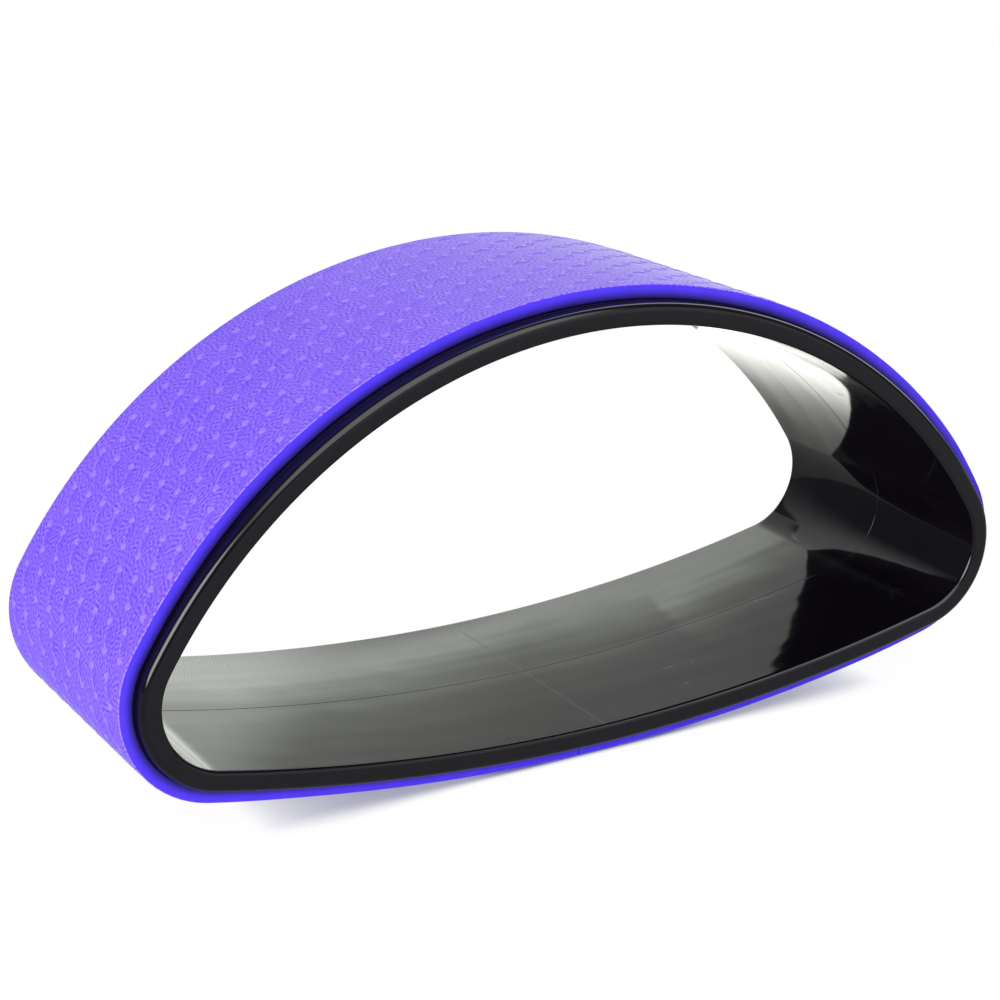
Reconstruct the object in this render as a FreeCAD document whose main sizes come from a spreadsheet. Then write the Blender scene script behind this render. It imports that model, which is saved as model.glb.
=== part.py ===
"""Half-moon yoga wheel: two identical moulded half shells, a foam mat wrapped round them and its adhesive.

Frame: X along the wheel's length, Y through its opening, +Z up. The origin is on the floor under the
middle of the rocker base. The front half shell is on the -Y side of the mid-plane.
"""

import FreeCAD, Part
import Sketcher
import math
import os

V = FreeCAD.Vector

# Driving dimensions in millimetres, or counts and shares where the name says so.
SIZES = {
    # The outline, measured over the mat
    "overall_length": 400.0,
    "overall_height": 190.0,
    "base_radius": 780.0,
    "corner_radius": 42.0,
    # The layers, from the outside in
    "mat_thickness": 6.0,
    "adhesive_thickness": 0.2,
    "band_depth": 8.6,
    "skin_thickness": 2.2,
    # Across the wheel
    "shell_width": 130.0,
    "mat_width": 118.0,
    "rim_web": 2.6,
    "outer_arris_radius": 1.6,
    "inner_arris_bevel": 0.9,
    "parting_bevel": 0.3,
    # The mat's butt joint under the base
    "butt_gap": 0.4,
    "butt_offset": 8.0,
    # Cross ribs between the skins; each share is how much of its arc a row of ribs spans
    "rib_thickness": 1.6,
    "rib_root": 0.4,
    "rib_setback": 8.0,
    "crown_rib_count": 11,
    "crown_rib_share": 0.82,
    "corner_rib_count": 2,
    "corner_rib_share": 0.4,
    "base_rib_count": 7,
    "base_rib_share": 0.81,
    # Pins and sockets where the halves meet; each share is how far along its half arc a pin stands
    "boss_length": 9.0,
    "pin_diameter": 3.0,
    "pin_height": 5.0,
    "pin_clearance": 0.1,
    "upper_pin_share": 0.246,
    "lower_pin_share": 0.738,
    "base_pin_share": 0.405,
}

HALF_TURN = math.degrees(math.pi)
# A sketch's origin, its vertical axis and the points of its arcs and lines
ORIGIN, VERTICAL = range(-1, -3, -1)
START, END, CENTRE = range(1, 4)

doc = FreeCAD.newDocument("yoga_wheel")


def fill_sheet(name, cells):
    """A sheet with one named cell for each entry."""
    sheet = doc.addObject("Spreadsheet::Sheet", name)
    for row, (alias, content) in enumerate(cells.items(), start=1):
        sheet.set(f"A{row}", alias)
        sheet.set(f"B{row}", str(content))
        sheet.setAlias(f"B{row}", alias)
    doc.recompute()
    return sheet


class Dim:
    """A size that carries its value and the sheet expression that gives it."""

    def __init__(self, value, text):
        self.value = value
        self.text = text

    def __add__(self, other):
        return Dim(self.value + other.value, f"{self.text} + {other.text}")

    def __sub__(self, other):
        return Dim(self.value - other.value, f"{self.text} - ({other.text})")

    def __mul__(self, factor):
        return Dim(self.value * factor, f"({self.text}) * {factor}")

    def __truediv__(self, factor):
        return Dim(self.value / factor, f"({self.text}) / {factor}")

    def part(self, share):
        return Dim(self.value * share.value, f"({self.text}) * {share.text}")


sheet = fill_sheet("dims", SIZES)
size = {alias: Dim(float(sheet.get(alias)), f"dims.{alias}") for alias in SIZES}
NOTHING = Dim(0.0, "0")
STRAIGHT_ANGLE = Dim(HALF_TURN, str(HALF_TURN))

# How far each surface lies inside the mat's outer face.
MAT_OUTER = NOTHING
MAT_INNER = size["mat_thickness"]
SHELL_OUTER = MAT_INNER + size["adhesive_thickness"]
CHANNEL_OUTER = SHELL_OUTER + size["skin_thickness"]
SHELL_INNER = SHELL_OUTER + size["band_depth"]
CHANNEL_INNER = SHELL_INNER - size["skin_thickness"]

HALF_WIDTH = size["shell_width"] / 2

# The corner arcs lie tangent inside the base arc, and the crown arc closes over them. The last four cells
# are angles in degrees: half the crown and base arcs, the corner arc, and its middle from straight up.
OUTLINE = {
    "corner_x": "=dims.overall_length / 2 - dims.corner_radius",
    "corner_z": "=dims.base_radius - sqrt((dims.base_radius - dims.corner_radius)^2 - corner_x^2)",
    "crown_rise": "=dims.overall_height - corner_z",
    "crown_radius": "=(corner_x^2 + crown_rise^2 - dims.corner_radius^2)"
    " / (2 * (crown_rise - dims.corner_radius))",
    "crown_z": "=dims.overall_height - crown_radius",
    "crown_half": "=atan2(corner_x; corner_z - crown_z) / 1 deg",
    "base_half": "=atan2(corner_x; dims.base_radius - corner_z) / 1 deg",
    "corner_span": f"={HALF_TURN} - base_half - crown_half",
    "corner_turn": "=crown_half + corner_span / 2",
}
outline_sheet = fill_sheet("outline", OUTLINE)
outline = {alias: Dim(float(outline_sheet.get(alias)), f"outline.{alias}") for alias in OUTLINE}
CORNER_X = outline["corner_x"]
CORNER_Z = outline["corner_z"]
CROWN_Z = outline["crown_z"]
CROWN_RADIUS = outline["crown_radius"]
BASE_RADIUS = size["base_radius"]
CORNER_RADIUS = size["corner_radius"]
# Directions of the points where the corner meets the crown and the base.
shoulder = math.atan2(CORNER_Z.value - CROWN_Z.value, CORNER_X.value)
haunch = math.atan2(CORNER_Z.value - BASE_RADIUS.value, CORNER_X.value)


def plane_of(body, role):
    """One of a body's own origin planes."""
    return next(plane for plane in body.Origin.OriginFeatures if plane.Role == role)


def new_body(label):
    body = doc.addObject("PartDesign::Body", label)
    body.Label = label
    return body


def new_sketch(body, name):
    """A sketch on the mid-plane: its x is X, its y is Z and it faces -Y."""
    sketch = body.newObject("Sketcher::SketchObject", name)
    sketch.AttachmentSupport = [(plane_of(body, "XZ_Plane"), "")]
    sketch.MapMode = "FlatFace"
    return sketch


def bind(sketch, constraint, dim):
    """Add a dimensional constraint and tie its value to the sheet."""
    index = sketch.addConstraint(Sketcher.Constraint(*constraint, dim.value))
    sketch.setExpression(f"Constraints[{index}]", dim.text)


def outline_radii(depth):
    """Radii of the crown, corner and base arcs at a depth below the mat's outer face."""
    return [radius.value - depth.value for radius in (CROWN_RADIUS, CORNER_RADIUS, BASE_RADIUS)]


def add_arc(sketch, x, z, radius, first, last):
    circle = Part.Circle(V(x, z, 0), V(0, 0, 1), radius)
    return sketch.addGeometry(Part.ArcOfCircle(circle, first, last), False)


def tie_outline(sketch, crown, corner, base, depth):
    """Hold one layer's arcs to the overall sizes; every layer shares the same arc centres."""
    sketch.addConstraint(Sketcher.Constraint("PointOnObject", crown, CENTRE, VERTICAL))
    sketch.addConstraint(Sketcher.Constraint("PointOnObject", base, CENTRE, VERTICAL))
    bind(sketch, ("Radius", base), BASE_RADIUS - depth)
    bind(sketch, ("Radius", corner), CORNER_RADIUS - depth)
    bind(sketch, ("DistanceX", ORIGIN, START, corner, CENTRE), CORNER_X)
    bind(sketch, ("DistanceY", ORIGIN, START, base, CENTRE), BASE_RADIUS)
    top = size["overall_height"] - depth
    apex = sketch.addGeometry(Part.Point(V(0, top.value, 0)), True)
    sketch.addConstraint(Sketcher.Constraint("PointOnObject", apex, START, VERTICAL))
    sketch.addConstraint(Sketcher.Constraint("PointOnObject", apex, START, crown))
    bind(sketch, ("DistanceY", ORIGIN, START, apex, START), top)


def add_outline(sketch, depth):
    """The closed D of four tangent arcs, at a depth below the mat's outer face."""
    x, z = CORNER_X.value, CORNER_Z.value
    crown_arc, corner_arc, base_arc = outline_radii(depth)
    crown = add_arc(sketch, 0, CROWN_Z.value, crown_arc, shoulder, math.pi - shoulder)
    left = add_arc(sketch, -x, z, corner_arc, math.pi - shoulder, math.pi - haunch)
    base = add_arc(sketch, 0, BASE_RADIUS.value, base_arc, math.pi - haunch, 2 * math.pi + haunch)
    right = add_arc(sketch, x, z, corner_arc, haunch, shoulder)
    loop = (crown, left, base, right)
    for arc, following in zip(loop, loop[1:] + loop[:1]):
        sketch.addConstraint(Sketcher.Constraint("Tangent", arc, END, following, START))
    sketch.addConstraint(Sketcher.Constraint("Equal", left, right))
    tie_outline(sketch, crown, right, base, depth)


def ring_sketch(body, name, outer_depth, inner_depth):
    sketch = new_sketch(body, name)
    add_outline(sketch, outer_depth)
    add_outline(sketch, inner_depth)
    return sketch


def radial_sketch(body, name, centre, turn, clockwise, setback):
    """A sketch with its origin at an arc's centre, turned from straight up, below the mid-plane by setback."""
    sketch = new_sketch(body, name)
    axis = V(0, 0, -1 if clockwise else 1)
    place = V(centre[0].value, centre[1].value, setback.value)
    sketch.AttachmentOffset = FreeCAD.Placement(place, FreeCAD.Rotation(axis, turn.value))
    sketch.setExpression("AttachmentOffset.Base.x", centre[0].text)
    sketch.setExpression("AttachmentOffset.Base.y", centre[1].text)
    sketch.setExpression("AttachmentOffset.Base.z", setback.text)
    sketch.setExpression("AttachmentOffset.Rotation.Angle", turn.text)
    return sketch


def add_bar(sketch, width, near, far):
    """A bar along the sketch's y axis, between two radii."""
    half = width.value / 2
    corners = [V(-half, near.value, 0), V(half, near.value, 0), V(half, far.value, 0), V(-half, far.value, 0)]
    sides = [
        sketch.addGeometry(Part.LineSegment(first, last), False)
        for first, last in zip(corners, corners[1:] + corners[:1])
    ]
    for side, following in zip(sides, sides[1:] + sides[:1]):
        sketch.addConstraint(Sketcher.Constraint("Coincident", side, END, following, START))
    bottom, right, top, left = sides
    sketch.addConstraint(Sketcher.Constraint("Horizontal", top))
    sketch.addConstraint(Sketcher.Constraint("Vertical", right))
    sketch.addConstraint(Sketcher.Constraint("Vertical", left))
    sketch.addConstraint(Sketcher.Constraint("Symmetric", bottom, START, bottom, END, VERTICAL))
    bind(sketch, ("DistanceX", bottom, START, bottom, END), width)
    bind(sketch, ("DistanceY", ORIGIN, START, bottom, START), near)
    bind(sketch, ("DistanceY", ORIGIN, START, top, END), far)


def add_disc(sketch, diameter, radius_to_centre):
    circle = Part.Circle(V(0, radius_to_centre.value, 0), V(0, 0, 1), diameter.value / 2)
    disc = sketch.addGeometry(circle, False)
    sketch.addConstraint(Sketcher.Constraint("PointOnObject", disc, CENTRE, VERTICAL))
    bind(sketch, ("Diameter", disc), diameter)
    bind(sketch, ("DistanceY", ORIGIN, START, disc, CENTRE), radius_to_centre)


def pad(body, sketch, name, length, reverse=False, both_ways=False):
    feature = body.newObject("PartDesign::Pad", name)
    feature.Profile = sketch
    feature.setExpression("Length", length.text)
    feature.Reversed = reverse
    feature.Midplane = both_ways
    doc.recompute()
    return feature


def pocket(body, sketch, name, length, reverse=False, both_ways=False):
    """Cut a pocket, and stop if it took nothing away."""
    before = body.Shape.Volume
    feature = body.newObject("PartDesign::Pocket", name)
    feature.Profile = sketch
    feature.setExpression("Length", length.text)
    feature.Reversed = reverse
    feature.Midplane = both_ways
    doc.recompute()
    if body.Shape.Volume >= before:
        raise RuntimeError(f"{name} cut nothing")
    return feature


def edges_at(body, y, depth):
    """Names of the outline's edges in one cross plane, at one depth below the mat's outer face."""
    tolerance = 1e-4
    names = []
    for number, edge in enumerate(body.Shape.Edges, start=1):
        if edge.Curve.TypeId != "Part::GeomCircle":
            continue
        in_plane = all(abs(side - y) < tolerance for side in (edge.BoundBox.YMin, edge.BoundBox.YMax))
        if in_plane and any(abs(edge.Curve.Radius - radius) < tolerance for radius in outline_radii(depth)):
            names.append(f"Edge{number}")
    return names


def dress(body, kind, name, names, property_name, dim):
    """Fillet or chamfer the named edges of the body as it stands."""
    undressed = body.Tip
    feature = body.newObject(f"PartDesign::{kind}", name)
    feature.Base = (undressed, names)
    feature.setExpression(property_name, dim.text)
    doc.recompute()


def add_ribs(body, name, centre, radius, turn, clockwise, fan, count):
    """A row of cross ribs fanned about an arc's centre, from the rim web to short of the mid-plane."""
    sketch = radial_sketch(body, f"{name}_section", centre, turn, clockwise, size["rib_setback"])
    near = radius - CHANNEL_INNER - size["rib_root"]
    far = radius - CHANNEL_OUTER + size["rib_root"]
    add_bar(sketch, size["rib_thickness"], near, far)
    rib = pad(body, sketch, name, HALF_WIDTH - size["rim_web"] - size["rib_setback"])
    row = body.newObject("PartDesign::PolarPattern", f"{name}_row")
    row.Originals = [rib]
    row.Axis = (sketch, ["N_Axis"])
    row.setExpression("Angle", fan.text)
    row.setExpression("Occurrences", count.text)
    body.Tip = row
    doc.recompute()


def add_joint_site(body, name, centre, radius, turn, on_right):
    """A boss across the channel: on the right it carries a pin, on the left the socket for one."""
    block = radial_sketch(body, f"{name}_boss_section", centre, turn, on_right, NOTHING)
    near = radius - CHANNEL_INNER - size["rib_root"]
    far = radius - CHANNEL_OUTER + size["rib_root"]
    add_bar(block, size["boss_length"], near, far)
    pad(body, block, f"{name}_boss", HALF_WIDTH - size["rim_web"])
    disc = radial_sketch(body, f"{name}_circle", centre, turn, on_right, NOTHING)
    middle = radius - (CHANNEL_INNER + CHANNEL_OUTER) / 2
    if on_right:
        add_disc(disc, size["pin_diameter"], middle)
        pad(body, disc, f"{name}_pin", size["pin_height"], reverse=True)
    else:
        add_disc(disc, size["pin_diameter"] + size["pin_clearance"] * 2, middle)
        pocket(body, disc, f"{name}_socket", size["pin_height"] + size["pin_clearance"], reverse=True)


def make_half_shell(label):
    """One moulding: a U of two skins and a rim web, ribbed, with pins at +X and sockets at -X."""
    body = new_body(label)
    pad(body, ring_sketch(body, "band_outline", SHELL_OUTER, SHELL_INNER), "band", HALF_WIDTH)
    rim_y = -HALF_WIDTH.value
    outer_edges = edges_at(body, rim_y, SHELL_OUTER)
    dress(body, "Fillet", "outer_arris", outer_edges, "Radius", size["outer_arris_radius"])
    inner_edges = edges_at(body, rim_y, SHELL_INNER)
    dress(body, "Chamfer", "inner_arris", inner_edges, "Size", size["inner_arris_bevel"])
    parting_edges = edges_at(body, 0.0, SHELL_INNER)
    dress(body, "Chamfer", "parting_edge", parting_edges, "Size", size["parting_bevel"])
    channel = ring_sketch(body, "channel_outline", CHANNEL_OUTER, CHANNEL_INNER)
    pocket(body, channel, "channel", HALF_WIDTH - size["rim_web"], reverse=True)

    crown = (NOTHING, CROWN_Z)
    base = (NOTHING, BASE_RADIUS)
    right = (CORNER_X, CORNER_Z)
    left = (NOTHING - CORNER_X, CORNER_Z)
    crown_half = outline["crown_half"]
    base_half = outline["base_half"]
    sites = (
        ("upper", crown, CROWN_RADIUS, crown_half.part(size["upper_pin_share"])),
        ("lower", crown, CROWN_RADIUS, crown_half.part(size["lower_pin_share"])),
        ("base", base, BASE_RADIUS, STRAIGHT_ANGLE - base_half.part(size["base_pin_share"])),
    )
    for name, centre, radius, turn in sites:
        add_joint_site(body, f"{name}_right", centre, radius, turn, True)
        add_joint_site(body, f"{name}_left", centre, radius, turn, False)

    crown_fan = crown_half.part(size["crown_rib_share"])
    base_fan = base_half.part(size["base_rib_share"])
    corner_fan = outline["corner_span"].part(size["corner_rib_share"]) / 2
    corner_turn = outline["corner_turn"]
    rows = (
        ("crown_ribs", crown, CROWN_RADIUS, crown_fan, True, crown_fan),
        ("base_ribs", base, BASE_RADIUS, STRAIGHT_ANGLE - base_fan, False, base_fan),
        ("corner_ribs_right", right, CORNER_RADIUS, corner_turn + corner_fan, True, corner_fan),
        ("corner_ribs_left", left, CORNER_RADIUS, corner_turn - corner_fan, False, corner_fan),
    )
    for name, centre, radius, turn, clockwise, half_fan in rows:
        count = size[f"{name.split('_')[0]}_rib_count"]
        add_ribs(body, name, centre, radius, turn, clockwise, half_fan * 2, count)
    return body


def turn_moulding(label, moulding):
    """The same moulding again, turned half a turn about the vertical so that pins meet sockets."""
    body = new_body(label)
    copy = body.newObject("PartDesign::FeatureBase", "same_moulding")
    copy.BaseFeature = moulding
    body.Tip = copy
    body.Placement = FreeCAD.Placement(V(), FreeCAD.Rotation(V(0, 0, 1), HALF_TURN))
    return body


def make_wrap(label, outer_depth, inner_depth):
    """A strip wrapped once round the shells, its two ends meeting at a butt joint under the base."""
    body = new_body(label)
    ring = ring_sketch(body, "wrap_outline", outer_depth, inner_depth)
    pad(body, ring, "wrap", size["mat_width"], both_ways=True)
    slit = new_sketch(body, "butt_slit")
    slit.AttachmentOffset = FreeCAD.Placement(V(-size["butt_offset"].value, 0, 0), FreeCAD.Rotation())
    slit.setExpression("AttachmentOffset.Base.x", f"-{size['butt_offset'].text}")
    add_bar(slit, size["butt_gap"], NOTHING - SHELL_OUTER, SHELL_OUTER * 2)
    pocket(body, slit, "butt_joint", size["mat_width"], both_ways=True)
    return body


front_half_shell = make_half_shell("front_half_shell")
nodes = [
    front_half_shell,
    turn_moulding("rear_half_shell", front_half_shell),
    make_wrap("mat", MAT_OUTER, MAT_INNER),
    make_wrap("mat_adhesive", MAT_INNER, SHELL_OUTER),
]
doc.recompute()

for item in doc.Objects:
    if "Invalid" in item.State or "Error" in item.State:
        raise RuntimeError(f"{item.Label} did not build: {item.State}")
for node in nodes:
    if node.Shape.isNull() or not node.Shape.isValid() or len(node.Shape.Solids) != 1:
        raise RuntimeError(f"{node.Label} is not one valid solid")

os.makedirs("parts", exist_ok=True)
for node in nodes:
    node.Shape.exportStep(f"parts/{node.Label}.step")
    box = node.Shape.optimalBoundingBox(False)
    print(f"{node.Label}: {node.Shape.Volume / 1000:.1f} cm3, "
          f"{box.XLength:.1f} x {box.YLength:.1f} x {box.ZLength:.1f} mm, {len(node.Shape.Faces)} faces")
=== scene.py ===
# %% [markdown]
# # A half-moon yoga wheel
# The wheel is a D-shaped ring: two black plastic half shells that meet at the middle of its width, with a
# strip of embossed purple foam mat glued round the outside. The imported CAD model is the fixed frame. This
# lesson gives it smooth surfaces, the mat's emboss and its finishes. The overall size stays as it is. Inside
# it, the rim's rounds are larger than the CAD model's and the mat's front edge stands back a little.

import math

import bpy
from mathutils import Matrix, Vector


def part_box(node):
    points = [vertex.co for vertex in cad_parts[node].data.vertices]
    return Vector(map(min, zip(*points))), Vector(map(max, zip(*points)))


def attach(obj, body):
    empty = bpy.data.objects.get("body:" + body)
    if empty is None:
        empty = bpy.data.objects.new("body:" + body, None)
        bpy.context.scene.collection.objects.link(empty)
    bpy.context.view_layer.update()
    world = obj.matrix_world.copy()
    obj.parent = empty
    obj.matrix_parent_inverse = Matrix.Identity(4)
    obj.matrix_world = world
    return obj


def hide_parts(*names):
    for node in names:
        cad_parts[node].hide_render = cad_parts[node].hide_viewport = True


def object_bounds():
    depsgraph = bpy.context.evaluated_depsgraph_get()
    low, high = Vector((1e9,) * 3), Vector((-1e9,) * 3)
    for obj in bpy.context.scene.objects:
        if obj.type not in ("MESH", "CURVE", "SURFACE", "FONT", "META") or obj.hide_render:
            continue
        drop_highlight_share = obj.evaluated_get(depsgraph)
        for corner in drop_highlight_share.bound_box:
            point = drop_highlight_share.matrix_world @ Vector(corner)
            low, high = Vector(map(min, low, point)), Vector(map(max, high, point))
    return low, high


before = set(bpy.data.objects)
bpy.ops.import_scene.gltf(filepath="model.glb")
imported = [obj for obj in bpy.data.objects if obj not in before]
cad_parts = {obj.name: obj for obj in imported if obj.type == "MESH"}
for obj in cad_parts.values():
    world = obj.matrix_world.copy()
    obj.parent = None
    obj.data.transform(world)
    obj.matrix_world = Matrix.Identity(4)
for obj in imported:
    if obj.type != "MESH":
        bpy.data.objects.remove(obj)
cad_box = [list(corner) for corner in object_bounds()]
print("CAD nodes:", sorted(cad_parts), "box:", cad_box)

# %% [markdown]
# ## The camera
# It could be placed by eye, but here its place, angles and lens come from fitting the wheel's own edges to
# the photograph, so the render and the photograph can be compared region by region. The turns come in this
# order: heading about the vertical, tilt from straight down, then a small roll about the line of sight.

# %% Camera
CAMERA_PLACE = (-0.46024, -0.78043, 0.3852)
CAMERA_TURNS = (("Z", -29.933), ("X", 71.961), ("Z", -0.229))
SENSOR_WIDTH, LENS = 36.0, 84.003


def add_object(name, data):
    """An object in the scene that shows the given data."""
    thing = bpy.data.objects.new(name, data)
    bpy.context.scene.collection.objects.link(thing)
    return thing


camera_data = bpy.data.cameras.new("camera")
camera_data.sensor_width = SENSOR_WIDTH
camera_data.lens = LENS
camera = add_object("camera", camera_data)
pose = Matrix.Translation(CAMERA_PLACE)
for axis, degrees in CAMERA_TURNS:
    pose = pose @ Matrix.Rotation(math.radians(degrees), 4, axis)
camera.matrix_world = pose
bpy.context.scene.camera = camera
print("camera", [round(value, 3) for value in camera.location], "lens", round(camera_data.lens, 2))

# %% [markdown]
# ## The outline
# Every layer of the wheel follows one line, the D of the mat's outer face: a crown arc, two corner arcs and
# a shallow base arc, each tangent to the next. A free-hand Bezier would only come near it, so the arcs are
# worked out from the wheel's length and height, which the CAD box gives. A point on the line is named by its
# clock angle, the direction of the outward normal from straight up, which grows steadily all the way round.
# The line starts under the base, where the two ends of the mat meet.

# %% Outline
MM = 0.001
BASE_RADIUS = 780 * MM
CORNER_RADIUS = 42 * MM
BUTT_OFFSET = 8 * MM
BASE_STEPS, CORNER_STEPS, CROWN_STEPS = 40, 64, 120
LINE_REFINE = 8

mat_low, mat_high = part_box("mat")
length = mat_high.x - mat_low.x
height = mat_high.z - mat_low.z
corner_x = length / 2 - CORNER_RADIUS
corner_z = BASE_RADIUS - math.sqrt((BASE_RADIUS - CORNER_RADIUS) ** 2 - corner_x**2)
rise = height - corner_z
crown_radius = (corner_x**2 + rise**2 - CORNER_RADIUS**2) / (2 * (rise - CORNER_RADIUS))
crown_z = height - crown_radius
crown_half = math.atan2(corner_x, corner_z - crown_z)
base_half = math.atan2(corner_x, BASE_RADIUS - corner_z)
butt_angle = math.pi + math.asin(BUTT_OFFSET / BASE_RADIUS)

# Each arc: centre x, centre z, radius, first and last clock angle, and how many steps it gets.
ARCS = (
    (0.0, BASE_RADIUS, BASE_RADIUS, butt_angle, math.pi + base_half, BASE_STEPS),
    (-corner_x, corner_z, CORNER_RADIUS, math.pi + base_half, 2 * math.pi - crown_half, CORNER_STEPS),
    (0.0, crown_z, crown_radius, 2 * math.pi - crown_half, 2 * math.pi + crown_half, CROWN_STEPS),
    (corner_x, corner_z, CORNER_RADIUS, 2 * math.pi + crown_half, 3 * math.pi - base_half, CORNER_STEPS),
    (0.0, BASE_RADIUS, BASE_RADIUS, 3 * math.pi - base_half, 2 * math.pi + butt_angle, BASE_STEPS),
)


def walk_outline(refine):
    """Points of the outline and the distance walked to each, with every step divided by refine."""
    points, distances, walked = [], [], 0.0
    for x, z, radius, first, last, steps in ARCS:
        for step in range(steps * refine):
            angle = first + (last - first) * step / (steps * refine)
            points.append((x + radius * math.sin(angle), 0.0, z + radius * math.cos(angle)))
            distances.append(walked + radius * (angle - first))
        walked += radius * (last - first)
    points.append(points[0])
    distances.append(walked)
    return points, distances


outline_points, _ = walk_outline(LINE_REFINE)
_, stations = walk_outline(1)
outline_length = stations[-1]
spline_data = bpy.data.curves.new("outline", "CURVE")
spline_data.dimensions = "3D"
spline = spline_data.splines.new("POLY")
spline.points.add(len(outline_points) - 1)
for point, place in zip(spline.points, outline_points):
    point.co = (*place, 1.0)
outline = add_object("outline", spline_data)
print("outline", round(outline_length / MM, 1), "mm round, crown radius", round(crown_radius / MM, 1), "mm")

# %% [markdown]
# ## Wrapping a flat piece
# The real mat is embossed flat and then wrapped round the shells. The same order works here: each piece is
# laid out flat, with x along the outline, y across the wheel and z out of the mat's face, and one Geometry
# Nodes tree bends it round. Sweeping a profile along a curve would also make the shells, but only the flat
# layout lets an emboss follow the tight corners without lifting off. The flat x and y are kept as a UV map.

# %% Node tree that wraps
GEOMETRY, OBJECT = "NodeSocketGeometry", "NodeSocketObject"
ACROSS = (0.0, 1.0, 0.0)


def new_tree(name, inputs, output, kind="GeometryNodeTree"):
    """An empty node tree with named inputs and one output, the inputs' sockets and the output's."""
    tree = bpy.data.node_groups.new(name, kind)
    for socket, socket_type in inputs:
        tree.interface.new_socket(socket, in_out="INPUT", socket_type=socket_type)
    tree.interface.new_socket(output[0], in_out="OUTPUT", socket_type=output[1])
    return tree, tree.nodes.new("NodeGroupInput").outputs, tree.nodes.new("NodeGroupOutput").inputs


def add_node(tree, kind, links=(), **settings):
    """A node with its settings, and its inputs either linked to a socket or given a value."""
    node = tree.nodes.new(kind)
    for setting, value in settings.items():
        setattr(node, setting, value)
    for socket, value in dict(links).items():
        if isinstance(value, bpy.types.NodeSocket):
            tree.links.new(value, node.inputs[socket])
        else:
            node.inputs[socket].default_value = value
    return node


def add_vector_math(tree, operation, *values):
    """A calculation on one or two vectors that gives a vector."""
    return add_node(tree, "ShaderNodeVectorMath", enumerate(values), operation=operation).outputs[0]


def add_axes(tree, place):
    """The x, y and z of a place."""
    return add_node(tree, "ShaderNodeSeparateXYZ", {0: place}).outputs


def add_combined(tree, **axes):
    """A vector with the axes that are given, and 0 on the others."""
    return add_node(tree, "ShaderNodeCombineXYZ", axes).outputs[0]


def geometry_of(tree, thing):
    """The geometry of an object."""
    return add_node(tree, "GeometryNodeObjectInfo", {"Object": thing}).outputs["Geometry"]


def make_wrap_tree():
    inputs = (("Flat piece", GEOMETRY), ("Outline", OBJECT))
    tree, given, result = new_tree("Wrap round the wheel", inputs, ("Wrapped piece", GEOMETRY))
    flat = add_node(tree, "GeometryNodeInputPosition").outputs["Position"]
    axes = add_axes(tree, flat)
    keeping = {"Geometry": given["Flat piece"], "Name": "flat", "Value": flat}
    kind = "GeometryNodeStoreNamedAttribute"
    kept = add_node(tree, kind, keeping, data_type="FLOAT2", domain="CORNER").outputs["Geometry"]
    walk = {"Curves": geometry_of(tree, given["Outline"]), "Length": axes["X"]}
    sample = add_node(tree, "GeometryNodeSampleCurve", walk, mode="LENGTH").outputs
    outward = add_vector_math(tree, "CROSS_PRODUCT", sample["Tangent"], ACROSS)
    unit = add_vector_math(tree, "NORMALIZE", outward)
    scaling = {0: unit, "Scale": axes["Z"]}
    lift = add_node(tree, "ShaderNodeVectorMath", scaling, operation="SCALE").outputs[0]
    foot = add_vector_math(tree, "ADD", sample["Position"], add_combined(tree, Y=axes["Y"]))
    bending = {"Geometry": kept, "Position": add_vector_math(tree, "ADD", foot, lift)}
    bent = add_node(tree, "GeometryNodeSetPosition", bending).outputs["Geometry"]
    tree.links.new(bent, result[0])
    return tree


wrap_tree = make_wrap_tree()
print("wrap tree has", len(wrap_tree.nodes), "nodes")

# %% [markdown]
# A flat piece is a loft: one cross-section repeated at every station along the outline. Its corners are
# drawn as arcs, because a moulded or cut edge is never knife sharp and the thin highlight along it is what
# the eye reads first. A point just beside each arc keeps the flats flat when the mesh is shaded smooth.

# %% Flat lofts
ARRIS_STEPS = 8
ARRIS_GUARD = 0.15 * MM
SHARP_FROM = math.radians(40)


def rounded_profile(corners):
    """A closed line through (across, out, radius) corners, all right angles, with arcs of those radii."""
    line = []
    for before, corner, after in zip(corners[-1:] + corners[:-1], corners, corners[1:] + corners[:1]):
        here, radius = Vector(corner[:2]), corner[2]
        back = (Vector(before[:2]) - here).normalized()
        ahead = (Vector(after[:2]) - here).normalized()
        if radius == 0:
            line.append(here)
            continue
        centre = here + (back + ahead) * radius
        line.append(here + back * (radius + ARRIS_GUARD))
        for step in range(ARRIS_STEPS + 1):
            turn = math.pi / 2 * step / ARRIS_STEPS
            line.append(centre - ahead * radius * math.cos(turn) - back * radius * math.sin(turn))
        line.append(here + ahead * (radius + ARRIS_GUARD))
    return line


def new_piece(name, vertices, faces):
    """A mesh object in the scene."""
    mesh = bpy.data.meshes.new(name)
    mesh.from_pydata(vertices, [], faces)
    return add_object(name, mesh)


def join_rings(first, count, rings, closed=False):
    """Faces between rings of count points, from point first on. Rings that don't close get two caps."""
    faces = []
    for ring in range(rings if closed else rings - 1):
        following = (ring + 1) % rings
        for side in range(count):
            turn = (side + 1) % count
            corners = ((ring, side), (ring, turn), (following, turn), (following, side))
            faces.append([first + row * count + column for row, column in corners])
    if not closed:
        last = first + (rings - 1) * count
        faces.append(list(reversed(range(first, first + count))))
        faces.append(list(range(last, last + count)))
    return faces


def flat_loft(name, profile, along, closed):
    """The profile repeated at each station, flat. A closed piece joins its last station to its first."""
    vertices = [(x, point[0], point[1]) for x in along for point in profile]
    return new_piece(name, vertices, join_rings(0, len(profile), len(along), closed))


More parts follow.
